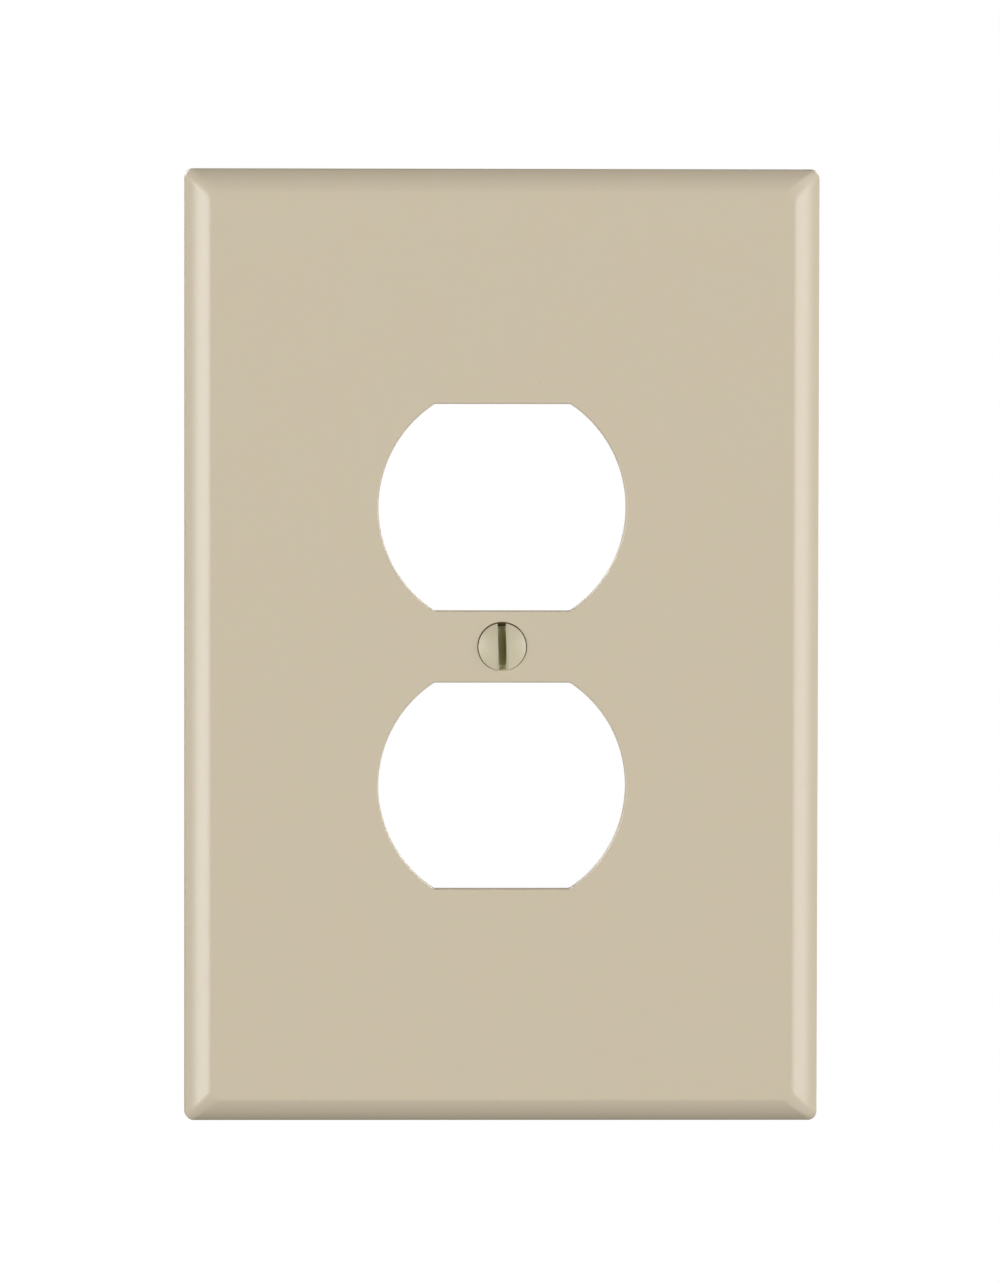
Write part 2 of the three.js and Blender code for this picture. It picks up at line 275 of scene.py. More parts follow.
def combine(piece, operation, tool):
    """Joins a tool solid to a piece, cuts it out, or keeps what both hold. Uses up the tool."""
    modifier = piece.modifiers.new("combine", "BOOLEAN")
    modifier.operation = operation
    modifier.solver = "MANIFOLD"
    modifier.object = tool
    settle(piece)
    bpy.data.objects.remove(tool)


def smooth(piece):
    """Merges slivers, and shades the piece smooth except at sharp edges and on large flat faces."""
    build = bmesh.new()
    build.from_mesh(piece.data)
    bmesh.ops.remove_doubles(build, verts=build.verts, dist=SLIVER * MM)
    bmesh.ops.dissolve_degenerate(build, edges=build.edges, dist=SLIVER * MM)
    for face in build.faces:
        face.smooth = True
    for edge in build.edges:
        edge.smooth = edge.calc_face_angle(0) < SHARP_ANGLE
    build.to_mesh(piece.data)
    build.free()
    modifier = piece.modifiers.new("flat_faces", "WEIGHTED_NORMAL")
    modifier.mode = "FACE_AREA"
    modifier.weight = FLAT_FACE_WEIGHT
    modifier.keep_sharp = True
    settle(piece)


# ---- Wall plate ----------------------------------------------------------------------------------


def outline_at(side_inset, end_inset, corner_radius, out):
    """The plate's rounded outline, drawn in at its sides and at its ends, as one ring."""
    width = PLATE_WIDTH - 2 * side_inset
    height = PLATE_HEIGHT - 2 * end_inset
    return ring(rounded_rectangle(width, height, corner_radius), out)


def hollow_section():
    """The hollow's wall as (inset, out), from its floor back to the rim."""
    wall = RIM_THICKNESS + HOLLOW_DRAFT
    fillet_end = (wall, HOLLOW_DEPTH - HOLLOW_FILLET)
    round_end = (RIM_THICKNESS - RIM_INNER_ROUND, 0)
    return [
        *bend((wall + HOLLOW_FILLET, HOLLOW_DEPTH), (wall, HOLLOW_DEPTH), fillet_end),
        *bend((RIM_THICKNESS, RIM_INNER_ROUND), (RIM_THICKNESS, 0), round_end),
    ]


def edge_section():
    """The plate's outer edge at its sides as (inset, out), from the rim's back to the face."""
    draft = math.tan(SIDE_DRAFT)
    start_slope = math.tan(BEVEL_START_ANGLE)
    end_slope = math.tan(BEVEL_END_ANGLE)
    start = (SIDE_WALL_HEIGHT * draft + EDGE_ROUND_WIDTH, SIDE_WALL_HEIGHT + EDGE_ROUND_HEIGHT)
    end = (BEVEL_WIDTH, PLATE_DEPTH)
    run, rise = end[0] - start[0], end[1] - start[1]
    bend_run = (rise - end_slope * run) / (start_slope - end_slope)
    knee = (start[0] + bend_run, start[1] + bend_run * start_slope)
    corner_out = (start[1] - start_slope * start[0]) / (1 - start_slope * draft)
    corner = (corner_out * draft, corner_out)
    below_corner = ((corner_out - SIDE_ROUND) * draft, corner_out - SIDE_ROUND)
    bevel = [p for p in bend(start, knee, end, BEVEL_STEPS) if p[0] < BEVEL_WIDTH - CREASE_ROUND]
    return [
        *bend((RIM_OUTER_ROUND, 0), (0, 0), (RIM_OUTER_ROUND * draft, RIM_OUTER_ROUND)),
        *bend(below_corner, corner, start)[:-1],
        *bevel,
        *bend(bevel[-1], end, (BEVEL_WIDTH + CREASE_ROUND, PLATE_DEPTH))[1:],
    ]


def plate_shell():
    hollow = hollow_section()
    rings = [outline_at(inset, inset, HOLLOW_CORNER_RADIUS, out) for inset, out in hollow]
    for inset, out in edge_section():
        share = inset / BEVEL_WIDTH
        radius = RIM_CORNER_RADIUS + (FACE_CORNER_RADIUS - RIM_CORNER_RADIUS) * share
        rings.append(outline_at(inset, share * END_BEVEL_WIDTH, radius, out))
    return loft("wall_plate_moulding", rings)


def opening_outline(centre_up, grow):
    """A circle with a flat above and below, grown outwards all round by grow."""
    radius = OPENING_RADIUS + grow
    corner = OPENING_CORNER_RADIUS + grow
    corner_up = OPENING_HALF_FLATS - OPENING_CORNER_RADIUS
    corner_across = math.sqrt((radius - corner) ** 2 - corner_up ** 2)
    tangent = math.atan2(corner_up, corner_across)
    points = []
    for sign, side in ((1, 0), (-1, math.pi)):
        x, y = sign * corner_across, sign * corner_up
        points += arc(x, -y, corner, side - QUARTER_TURN, side - tangent, SMALL_ARC_STEPS)
        points += arc(0, 0, radius, side - tangent, side + tangent, OPENING_ARC_STEPS)[1:-1]
        points += arc(x, y, corner, side + tangent, side + QUARTER_TURN, SMALL_ARC_STEPS)
    return [(x, y + centre_up) for x, y in points]


def standing_section(height):
    """A wall that stands on the hollow's floor, as (grow, out): rounded edge, side, foot."""
    rear = HOLLOW_DEPTH - height
    return [
        *bend((-STANDING_ROUND, rear), (0, rear), (0, rear + STANDING_ROUND)),
        *bend((0, HOLLOW_DEPTH - FOOT_FILLET), (0, HOLLOW_DEPTH), (FOOT_FILLET, HOLLOW_DEPTH)),
        (FOOT_FILLET, HOLLOW_DEPTH + ROOT_DEPTH),
    ]


def collar(centre_up):
    section = standing_section(COLLAR_HEIGHT)
    rings = [ring(opening_outline(centre_up, COLLAR_WIDTH + grow), out) for grow, out in section]
    return loft("collar", rings)


def rib(width, height, across=0, up=0):
    section = standing_section(RIB_HEIGHT)
    rings = [
        ring(rectangle(width + 2 * grow, height + 2 * grow, across, up), out)
        for grow, out in section
    ]
    return loft("rib", rings)


def boss():
    section = standing_section(BOSS_HEIGHT)
    return turned("boss", [(BOSS_RADIUS + grow, out) for grow, out in section])


def opening_plug(centre_up):
    collar_rear = HOLLOW_DEPTH - COLLAR_HEIGHT
    rear, front = OPENING_REAR_ROUND, OPENING_FRONT_ROUND
    section = [
        (rear, -PAST),
        *bend((rear, collar_rear), (0, collar_rear), (0, collar_rear + rear)),
        *bend((0, PLATE_DEPTH - front), (0, PLATE_DEPTH), (front, PLATE_DEPTH)),
        (front, PLATE_DEPTH + PAST),
    ]
    return loft("opening", [ring(opening_outline(centre_up, grow), out) for grow, out in section])


def ejector_plug(across, up):
    floor = HOLLOW_DEPTH + EJECTOR_DEPTH
    edge = EJECTOR_DEPTH / 2
    profile = [
        (EJECTOR_RADIUS, 0),
        (EJECTOR_RADIUS, floor - edge),
        (EJECTOR_RADIUS - edge, floor),
    ]
    return turned("ejector_mark", profile, across, up)


def clearance_plug():
    rear = HOLLOW_DEPTH - BOSS_HEIGHT
    wall = CLEARANCE_RADIUS
    profile = [
        (wall + HOLE_ROUND, -PAST),
        *bend((wall + HOLE_ROUND, rear), (wall, rear), (wall, rear + HOLE_ROUND)),
        (wall, PLATE_DEPTH + PAST),
    ]
    return turned("clearance_hole", profile)


def countersink_plug():
    slope = math.tan(COUNTERSINK_HALF_ANGLE)
    cone_depth = (COUNTERSINK_RADIUS - CLEARANCE_RADIUS / 2) / slope
    lip = HOLE_ROUND
    above = (COUNTERSINK_RADIUS + lip, PLATE_DEPTH)
    below = (COUNTERSINK_RADIUS - lip * slope, PLATE_DEPTH - lip)
    profile = [
        (CLEARANCE_RADIUS / 2, PLATE_DEPTH - cone_depth),
        *bend(below, (COUNTERSINK_RADIUS, PLATE_DEPTH), above),
        (COUNTERSINK_RADIUS + lip, PLATE_DEPTH + PAST),
    ]
    return turned("countersink", profile, COUNTERSINK_ACROSS, COUNTERSINK_UP)


def wall_plate():
    plate = plate_shell()
    centres = (OPENING_SPACING / 2, -OPENING_SPACING / 2)
    inner_width = PLATE_WIDTH - 2 * RIM_THICKNESS
    inner_height = PLATE_HEIGHT - 2 * RIM_THICKNESS
    for across in (-RIB_COLUMN_ACROSS, RIB_COLUMN_ACROSS):
        combine(plate, "UNION", rib(RIB_THICKNESS, inner_height, across=across))
    for up in (-RIB_ROW_UP, RIB_ROW_UP):
        combine(plate, "UNION", rib(inner_width, RIB_THICKNESS, up=up))
    combine(plate, "UNION", rib(2 * RIB_COLUMN_ACROSS, RIB_THICKNESS))
    for up in centres:
        combine(plate, "UNION", collar(up))
    combine(plate, "UNION", boss())
    for up in centres:
        combine(plate, "DIFFERENCE", opening_plug(up))
    for across in (-EJECTOR_ACROSS, EJECTOR_ACROSS):
        for up in EJECTOR_ROWS:
            combine(plate, "DIFFERENCE", ejector_plug(across, up))
    combine(plate, "DIFFERENCE", clearance_plug())
    combine(plate, "DIFFERENCE", countersink_plug())
    smooth(plate)
    return plate


# ---- Mounting screw ------------------------------------------------------------------------------

HEAD_RIM_BOTTOM = HEAD_RIM_TOP - HEAD_RIM_HEIGHT
HEAD_CONE_HEIGHT = (HEAD_RADIUS - NECK_RADIUS) / math.tan(COUNTERSINK_HALF_ANGLE)
HEAD_CONE_BOTTOM = HEAD_RIM_BOTTOM - HEAD_CONE_HEIGHT
NECK_BOTTOM = HEAD_CONE_BOTTOM - NECK_LENGTH
DOME_RADIUS = (HEAD_RADIUS ** 2 + HEAD_DOME_HEIGHT ** 2) / (2 * HEAD_DOME_HEIGHT)
DOME_CENTRE = HEAD_RIM_TOP + HEAD_DOME_HEIGHT - DOME_RADIUS
SLOT_FLOOR = HEAD_RIM_TOP + HEAD_DOME_HEIGHT - SLOT_DEPTH


def screw_head():
    edge_angle = math.asin((HEAD_RADIUS - HEAD_RIM_ROUND) / DOME_RADIUS)
    dome = []
    for step in range(DOME_STEPS):
        angle = edge_angle * (1 - step / DOME_STEPS)
        dome.append((DOME_RADIUS * math.sin(angle), DOME_CENTRE + DOME_RADIUS * math.cos(angle)))
    rim_start = (HEAD_RADIUS, HEAD_RIM_BOTTOM + HEAD_RIM_ROUND)
    return turned("head", [
        (THREAD_ROOT_RADIUS, NECK_BOTTOM - PAST),
        (THREAD_ROOT_RADIUS, NECK_BOTTOM),
        (NECK_RADIUS, NECK_BOTTOM + NECK_SHOULDER),
        (NECK_RADIUS, HEAD_CONE_BOTTOM),
        (HEAD_RADIUS - HEAD_RIM_ROUND, HEAD_RIM_BOTTOM - HEAD_RIM_ROUND),
        *bend(rim_start, (HEAD_RADIUS, HEAD_RIM_TOP), dome[0])[:-1],
        *dome,
    ])


def thread_section(fullness):
    """The ridge in section, as (radius, along the screw) pairs round it. fullness 0 sinks it."""
    depth = (THREAD_MAJOR_RADIUS - THREAD_MINOR_RADIUS) * fullness
    upper = [
        (THREAD_ROOT_RADIUS, THREAD_ROOT_HALF),
        *[(THREAD_MINOR_RADIUS + share * depth, half) for share, half in THREAD_FLANK],
    ]
    return upper + [(radius, -along) for radius, along in reversed(upper)]


def thread_ridge():
    """A right-hand ridge that starts past the tip and sinks into the core under the head."""
    bottom = SCREW_TIP - THREAD_PITCH
    turns = (NECK_BOTTOM - THREAD_PITCH / 2 - bottom) / THREAD_PITCH
    steps = math.ceil(turns * THREAD_STEPS_PER_TURN)
    rings = []
    for step in range(steps + 1):
        turn = turns * step / steps
        angle = turn * FULL_TURN
        out = bottom + turn * THREAD_PITCH
        section = thread_section(min(1, (turns - turn) / THREAD_RUN_OUT_TURNS))
        rings.append([
            (radius * math.cos(angle), radius * math.sin(angle), out + along)
            for radius, along in section
        ])
    return loft("thread", rings)


def screw_blank():
    """What the thread is trimmed to: the screw's length, and the chamfer at its tip."""
    tip_radius = THREAD_MAJOR_RADIUS - SCREW_TIP_CHAMFER
    outside = 2 * THREAD_MAJOR_RADIUS
    return turned("blank", [
        (tip_radius, SCREW_TIP),
        (outside, SCREW_TIP + outside - tip_radius),
        (outside, NECK_BOTTOM),
    ])


def tilted(across, up):
    """A point of the slot's own frame, turned anticlockwise by the slot's tilt."""
    c, s = math.cos(SLOT_TILT), math.sin(SLOT_TILT)
    return (across * c - up * s, across * s + up * c)


def slot_cutter():
    """The sawn slot: a section with rounded floor corners, run right across the head."""
    half = SLOT_WIDTH / 2
    floor = SLOT_FLOOR
    top = HEAD_RIM_TOP + HEAD_DOME_HEIGHT + PAST
    floor_end = (half - SLOT_FLOOR_ROUND, floor)
    right = bend(floor_end, (half, floor), (half, floor + SLOT_FLOOR_ROUND))
    left = [(-across, out) for across, out in reversed(right)]
    section = [*left, *right, (half, top), (-half, top)]
    reach = 2 * HEAD_RADIUS
    return loft("slot", [
        [(*tilted(across, up), out) for across, out in section] for up in (-reach, reach)
    ])


def slot_lip_cutter():
    """Rounds both lips of the slot. A lip is an arc about an axis that crosses the slot through the
    dome's centre, so the cutter is the part of a hoop about that axis that spans the head."""
    half = SLOT_WIDTH / 2
    outer = half + SLOT_LIP_ROUND
    surface = math.sqrt(DOME_RADIUS ** 2 - outer ** 2)
    right = bend((half, surface - SLOT_LIP_ROUND), (half, surface), (outer, surface))
    left = [(-across, radius) for across, radius in reversed(right)]
    section = [*left, *right, (outer, DOME_RADIUS + PAST), (-outer, DOME_RADIUS + PAST)]
    rings = []
    for step in range(-SLOT_LIP_STEPS, SLOT_LIP_STEPS + 1):
        angle = SLOT_LIP_HALF_SPAN * step / SLOT_LIP_STEPS
        c, s = math.cos(angle), math.sin(angle)
        rings.append([
            (*tilted(across, radius * s), DOME_CENTRE + radius * c) for across, radius in section
        ])
    return loft("slot_lips", rings)


def mounting_screw():
    screw = turned("oval_head_screw", [
        (THREAD_MINOR_RADIUS, SCREW_TIP - PAST),
        (THREAD_MINOR_RADIUS, NECK_BOTTOM),
    ])
    combine(screw, "UNION", thread_ridge())
    combine(screw, "INTERSECT", screw_blank())
    combine(screw, "UNION", screw_head())
    combine(screw, "DIFFERENCE", slot_cutter())
    combine(screw, "DIFFERENCE", slot_lip_cutter())
    smooth(screw)
    return screw


# ---- Screw retainer ------------------------------------------------------------------------------


def slit_cutter(turn):
    """A slot with round ends that crosses the whole bore and makes two opposite slits."""
    half = RETAINER_SLIT_WIDTH / 2
    reach = RETAINER_SLIT_END_RADIUS - half
    ends = arc(reach, 0, half, -QUARTER_TURN, QUARTER_TURN, SMALL_ARC_STEPS)
    outline = [*ends, *[(-across, -up) for across, up in ends]]
    c, s = math.cos(turn), math.sin(turn)
    turned_outline = [(x * c - y * s, x * s + y * c) for x, y in outline]
    return loft("slit", [
        ring(turned_outline, RETAINER_BACK - PAST), ring(turned_outline, RETAINER_FRONT + PAST)
    ])


def screw_retainer():
    inner, outer, r = RETAINER_BORE_RADIUS, RETAINER_RADIUS, RETAINER_ROUND
    back, front = RETAINER_BACK, RETAINER_FRONT
    section = [
        *bend((outer - r, back), (outer, back), (outer, back + r)),
        *bend((outer, front - r), (outer, front), (outer - r, front)),
        *bend((inner + r, front), (inner, front), (inner, front - r)),
        *bend((inner, back + r), (inner, back), (inner + r, back)),
    ]
    rings = [ring(circle(radius), out) for radius, out in section]
    retainer = loft("slit_washer", rings, closed=True)
    combine(retainer, "DIFFERENCE", slit_cutter(0))
    combine(retainer, "DIFFERENCE", slit_cutter(QUARTER_TURN))
    smooth(retainer)
    return retainer


# ---- Materials -----------------------------------------------------------------------------------

# Sizes and depths are in millimetres, and a relief is its size and its depth. A tint is what a
# colour's red, green and blue are multiplied by.
UNTINTED = (1.0, 1.0, 1.0)
CLOUD_NOISE = (0.35, 0.65)  # the noise at which a patch starts and is full
SHEEN_NOISE = (0.3, 0.7)  # the noise at which a surface is smoothest and roughest

IVORY_IOR = 1.5
IVORY_CLOUD_SIZE = 9
IVORY_CLOUD_TINTS = ((1.008, 0.985, 1.0), (0.99, 0.99, 0.99))
IVORY_MOTTLE_SIZE = 1.1
IVORY_MOTTLE_TINT = (0.985, 0.988, 0.97)
IVORY_SHEEN_SIZE = 0.7
IVORY_SHEEN_SPREAD = 0.03
IVORY_RIPPLE = (6, 0.004)
IVORY_GRAIN_SIZE = 0.35
SPECK_SPACING = 16
SPECKED_SHARE = 0.35  # share of the cells of that spacing that hold a speck
SPECK_RADII = (0.006, 0.013)  # of its core and its edge, as shares of the spacing
SPECK_STRENGTH = 0.55
SPECK_TINT = (0.42, 0.42, 0.42)

ENAMEL_IOR = 1.5
ENAMEL_CLOUD_SIZE = 1.6
ENAMEL_CLOUD_TINTS = ((1.02, 1.0, 1.02), (0.96, 0.99, 0.93))
ENAMEL_SHEEN_SIZE = 0.5
ENAMEL_ROUGHNESS = (0.42, 0.52)
ENAMEL_RELIEFS = ((1.2, 0.006), (0.12, 0.0006))
SCUFF_SIZE = 0.3
SCUFF_START = 0.62  # the noise at which fresh paint starts to be scuffed
SCUFF_FULL = 0.72
SCUFF_STRENGTH = 0.25
SCUFF_COLOUR = (0.45, 0.43, 0.37, 1.0)
WEAR_LOWERS_START = 0.3
WEAR_ADDS_STRENGTH = 0.5

ZINC_CAST_SIZE = 1.5
ZINC_YELLOWISH = (0.66, 0.65, 0.6, 1.0)
ZINC_BLUISH = (0.6, 0.62, 0.65, 1.0)
ZINC_SHEEN_SIZE = 0.25
ZINC_ROUGHNESS = (0.24, 0.4)
ZINC_RELIEF = (0.15, 0.001)

NYLON_IOR = 1.53
NYLON_SUBSURFACE = 0.3
NYLON_SUBSURFACE_DEPTH = 0.6
NYLON_CLOUD_SIZE = 1.2
NYLON_CLOUD_TINT = (0.96, 0.95, 0.91)
NYLON_SHEEN_SIZE = 0.4
NYLON_ROUGHNESS = (0.4, 0.52)
NYLON_RELIEF = (0.3, 0.002)

FLOOR_PATCH_SIZE = 400
FLOOR_TONES = ((0.8, 0.8, 0.79, 1.0), (0.77, 0.77, 0.77, 1.0))


class Shader:
    """A material with a Principled shader, whose node tree is built by short calls."""

    def __init__(self, name, **sockets):
        self.material = bpy.data.materials.new(name)
        self.material.use_nodes = True
        self.tree = self.material.node_tree
        self.surface = self.tree.nodes["Principled BSDF"]
        for socket, value in sockets.items():
            self.surface.inputs[socket.replace("_", " ")].default_value = value
        self.place = self.add("TexCoord").outputs["Object"]

    def add(self, kind, sockets=None, **settings):
        """A node with its properties, and its sockets set to a value or linked to another's."""
        node = self.tree.nodes.new("ShaderNode" + kind)
        for name, value in settings.items():
            setattr(node, name, value)
        for key, value in (sockets or {}).items():
            if isinstance(value, bpy.types.NodeSocket):
                self.tree.links.new(value, node.inputs[key])
            else:
                node.inputs[key].default_value = value
        return node

    def noise(self, size):
        """Noise from 0 to 1 with features of about that size in millimetres."""
        sockets = {"Vector": self.place, "Scale": 1 / (size * MM), "Detail": 2.0}
        return self.add("TexNoise", sockets).outputs["Fac"]

    def remap(self, value, from_range, to_range):
        """A value from one range put into another, and held inside it."""
        sockets = {"Value": value}
        for key, limit in enumerate((*from_range, *to_range), start=1):
            sockets[key] = limit
        return self.add("MapRange", sockets).outputs["Result"]

    def cloud(self, size):
        """Soft patches of about that size, from 0 between them to 1 inside."""
        return self.remap(self.noise(size), CLOUD_NOISE, (0, 1))

    def math(self, operation, first, second):
        return self.add("Math", {0: first, 1: second}, operation=operation).outputs["Value"]

    def blend(self, factor, first, second):
        """A colour between two others."""
        sockets = {"Factor": factor, 6: first, 7: second}
        return self.add("Mix", sockets, data_type="RGBA").outputs[2]

    def fade(self, colour, base, fades):
        """Turns a colour into tints of base. Each fade is an axis, where along it in millimetres it
        starts and is full, and the tint."""
        for axis, start, full, tint in fades:
            along = self.add("SeparateXYZ", {"Vector": self.place}).outputs[axis]
            share = self.remap(along, (start * MM, full * MM), (0, 1))
            colour = self.blend(share, colour, tinted(base, tint))
        return colour

    def link(self, socket, value):
        self.tree.links.new(value, self.surface.inputs[socket])

    def vary_roughness(self, size, roughness):
        """Lets the roughness wander between two values in patches of about that size."""
        self.link("Roughness", self.remap(self.noise(size), SHEEN_NOISE, roughness))

    def emboss(self, *reliefs):
        """Roughens the surface with reliefs, each on top of the one before."""
        normal = None
        for size, depth in reliefs:
            sockets = {"Height": self.noise(size), "Distance": depth * MM}
            if normal is not None:
                sockets["Normal"] = normal
            normal = self.add("Bump", sockets).outputs["Normal"]
        self.link("Normal", normal)


def tinted(colour, tint):
    """A colour multiplied by a tint, as a socket takes it."""
    return (*[value * factor for value, factor in zip(colour, tint)], 1.0)


def record_colour(slot):
    for material in frame["record"]["materials"]:
        if material["slot"] == slot:
            return material["base_color"]


def moulded_ivory(name, roughness, grain, darkening_tint=UNTINTED, fades=()):
    """Satin thermoset: faint mottling, rare specks, a soft ripple and a fine grain. A darkening tint
    and fades, where given, paint shade and light on it.
    """
    ivory = tinted(record_colour("plate_ivory"), darkening_tint)
    shader = Shader(name, IOR=IVORY_IOR)
    low, high = [tinted(ivory, tint) for tint in IVORY_CLOUD_TINTS]
    broad = shader.blend(shader.cloud(IVORY_CLOUD_SIZE), low, high)
    mottled = tinted(ivory, IVORY_MOTTLE_TINT)
    fine = shader.blend(shader.cloud(IVORY_MOTTLE_SIZE), broad, mottled)
    faded = shader.fade(fine, ivory, fades)
    cell_sockets = {"Vector": shader.place, "Scale": 1 / (SPECK_SPACING * MM)}
    cells = shader.add("TexVoronoi", cell_sockets).outputs
    cell_number = shader.add("SeparateColor", {"Color": cells["Color"]}).outputs["Red"]
    chosen = shader.math("LESS_THAN", cell_number, SPECKED_SHARE)
    dot = shader.remap(cells["Distance"], SPECK_RADII, (SPECK_STRENGTH, 0))
    speck = shader.math("MULTIPLY", dot, chosen)
    shader.link("Base Color", shader.blend(speck, faded, tinted(ivory, SPECK_TINT)))
    shader.vary_roughness(
        IVORY_SHEEN_SIZE, (roughness - IVORY_SHEEN_SPREAD, roughness + IVORY_SHEEN_SPREAD)
    )
    shader.emboss(IVORY_RIPPLE, (IVORY_GRAIN_SIZE, grain))
    return shader.material


def painted_head(name, wear=0.0, darkening_tint=UNTINTED, fades=()):
    """Baked enamel over steel, darkened by a tint (painted shade in the slot, duller worn lips).
    wear, from 0 to 1, thins it.
    """
    paint = tinted(record_colour("screw_painted_steel"), darkening_tint)
    shader = Shader(name, IOR=ENAMEL_IOR)
    low, high = [tinted(paint, tint) for tint in ENAMEL_CLOUD_TINTS]
    enamel = shader.blend(shader.cloud(ENAMEL_CLOUD_SIZE), low, high)
    enamel = shader.fade(enamel, paint, fades)
    scuff_noise = (SCUFF_START - WEAR_LOWERS_START * wear, SCUFF_FULL)
    strength = SCUFF_STRENGTH + WEAR_ADDS_STRENGTH * wear
    scuff = shader.remap(shader.noise(SCUFF_SIZE), scuff_noise, (0, strength))
    shader.link("Base Color", shader.blend(scuff, enamel, SCUFF_COLOUR))
    shader.vary_roughness(ENAMEL_SHEEN_SIZE, ENAMEL_ROUGHNESS)
    shader.emboss(*ENAMEL_RELIEFS)
    return shader.material


def zinc(name):
    """Bright zinc plating with a faint yellow and blue cast."""
    shader = Shader(name, Metallic=1.0)
    cast = shader.cloud(ZINC_CAST_SIZE)
    shader.link("Base Color", shader.blend(cast, ZINC_YELLOWISH, ZINC_BLUISH))
    shader.vary_roughness(ZINC_SHEEN_SIZE, ZINC_ROUGHNESS)
    shader.emboss(ZINC_RELIEF)
    return shader.material


def nylon(name):
    """Natural nylon: cloudy, with a waxy surface."""
    natural = tinted(record_colour("retainer_nylon"), UNTINTED)
    shader = Shader(
        name,
        IOR=NYLON_IOR,
        Subsurface_Weight=NYLON_SUBSURFACE,
        Subsurface_Scale=NYLON_SUBSURFACE_DEPTH * MM,
    )
    cloud = shader.cloud(NYLON_CLOUD_SIZE)
    shader.link("Base Color", shader.blend(cloud, natural, tinted(natural, NYLON_CLOUD_TINT)))
    shader.vary_roughness(NYLON_SHEEN_SIZE, NYLON_ROUGHNESS)
    shader.emboss(NYLON_RELIEF)
    return shader.material


def studio_floor(name):
    """A floor that glows evenly, so that no lamp's edge shows on it."""
    shader = Shader(
        name, Base_Color=(0, 0, 0, 1), Roughness=1.0, Specular_IOR_Level=0.0, Emission_Strength=1.0
    )
    shader.link("Emission Color", shader.blend(shader.cloud(FLOOR_PATCH_SIZE), *FLOOR_TONES))
    return shader.material


def paint_faces(piece, materials, choose):
    """Gives a piece its materials. choose says which one a face takes, by its centre and normal."""
    for material in materials:
        piece.data.materials.append(material)
    for face in piece.data.polygons:
        across, out, up = face.center.x / MM, -face.center.y / MM, face.center.z / MM
        face.material_index = choose(across, up, out, face.normal)


# ---- Pieces on their bodies ----------------------------------------------------------------------

# Materials of the plate and of the screw, in the order that paint_faces gets them
FACE, BACK, HOLE = range(3)
# The third screw material is the slot's enamel, which carries painted shade and painted light
PAINTED, WORN, SLOT_SHADED, PLATED = range(4)

FACE_ROUGHNESS = 0.36
FACE_GRAIN = 0.0009
BACK_ROUGHNESS = 0.52
BACK_GRAIN = 0.002
FACES_BACK = 0.05  # a face whose normal leans into the wall by more than this is on the back
RIM_EDGE_SHARE = 0.9  # share of the rim's thickness that counts as the outer edge

# Painted shade in the screw hole: darker below its mouth, and painted light that brings its lower
# end back nearly to the plain ivory. The start and the full depth are below the face, and the rise
# is above the head's lowest point.
HOLE_SHADE_TINT = (0.5, 0.42, 0.3)
HOLE_DEEP_SHADE_TINT = (0.3, 0.3, 0.2)
HOLE_DEEP_START = 0.05
HOLE_DEEP_FULL = 0.2
HOLE_LOWER_LIGHT_TINT = (1.8, 2.2, 2.8)
HOLE_LOWER_RISE = 0.5
HOLE_SHADE_AND_LIGHT_FADES = (
    ("Y", HOLE_DEEP_START - PLATE_DEPTH, HOLE_DEEP_FULL - PLATE_DEPTH, HOLE_DEEP_SHADE_TINT),
    ("Z", -SLOT_END, HOLE_LOWER_RISE - HEAD_RADIUS, HOLE_LOWER_LIGHT_TINT),
)

# Paint on the head: painted shade darkens it upwards and painted light lightens it downwards, and it
# is worn at the slot's lips. In the slot, painted shade darkens it, most at its upper end, and
# painted light pales its lower end, as in the hole
HEAD_LIGHT_AND_SHADE_FADES = (
    ("Z", 0, HEAD_RADIUS, (0.9, 0.88, 0.87)),
    ("Z", 0, -HEAD_RADIUS, (1.1, 1.09, 1.1)),
)
LIP_TINT = (0.84, 0.84, 0.84)
# Painted shade in the slot, darkest at its upper end, with painted light paling its lower end
SLOT_SHADE_TINT = (0.9, 0.92, 0.78)
SLOT_SHADE_AND_LIGHT_FADES = (
    ("Z", SLOT_END, HEAD_RADIUS, (0.4, 0.45, 0.3)),
    ("Z", -SLOT_END, -HEAD_RADIUS, (1.9, 2.1, 2.4)),
)


def is_inside_rim(across, up):
    inset = RIM_THICKNESS * RIM_EDGE_SHARE
    return abs(across) < PLATE_WIDTH / 2 - inset and abs(up) < PLATE_HEIGHT / 2 - inset


def plate_material(across, up, out, normal):
    off_screw = math.hypot(across - COUNTERSINK_ACROSS, up - COUNTERSINK_UP)
    if off_screw < COUNTERSINK_RADIUS and HOLLOW_DEPTH < out < PLATE_DEPTH - HOLE_ROUND / 2:
        return HOLE
    if normal.y > FACES_BACK or (out < HOLLOW_DEPTH and is_inside_rim(across, up)):
        return BACK
    return FACE


def screw_material(across, up, out, normal):
    off_axis = math.hypot(across, up)
    if off_axis < NECK_RADIUS + NECK_SHOULDER and out < HEAD_CONE_BOTTOM + NECK_SHOULDER:
        return PLATED
    off_slot = abs(across * math.cos(SLOT_TILT) + up * math.sin(SLOT_TILT))
    if off_slot > SLOT_WIDTH / 2 + SLOT_LIP_ROUND or out < SLOT_FLOOR - SLOT_FLOOR_ROUND:
        return PAINTED
    return WORN if off_slot > SLOT_WIDTH / 2 + SLOT_FLOOR_ROUND / 4 else SLOT_SHADED


